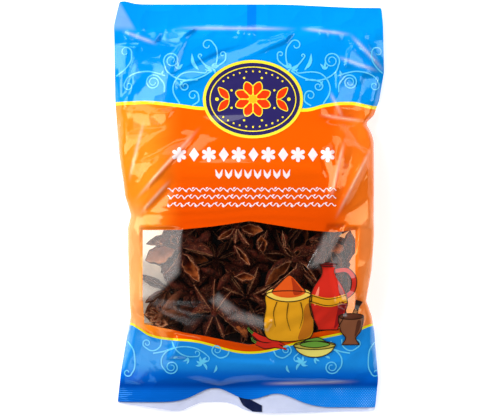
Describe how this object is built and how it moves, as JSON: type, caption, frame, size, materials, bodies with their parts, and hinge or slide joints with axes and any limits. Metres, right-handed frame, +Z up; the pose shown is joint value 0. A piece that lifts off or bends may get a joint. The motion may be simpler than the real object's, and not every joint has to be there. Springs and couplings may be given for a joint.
{
  "type": "window bag of star anise pods",
  "caption": "Sealed printed film bag with a clear window, filled with whole star anise pods, lying on its back.",
  "frame": {"origin": "middle of the bag's footprint, on the surface that it lies on", "axes": "+X to the front's right, +Y towards the top seal, +Z up, out of the printed front"},
  "size_m": [0.1196, 0.1824, 0.0258],
  "materials": {
    "printed_film": "glossy printed polypropylene film"
  },
  "bodies": {
    "root": {"window_bag": "printed_film"}
  },
  "joints": []
}
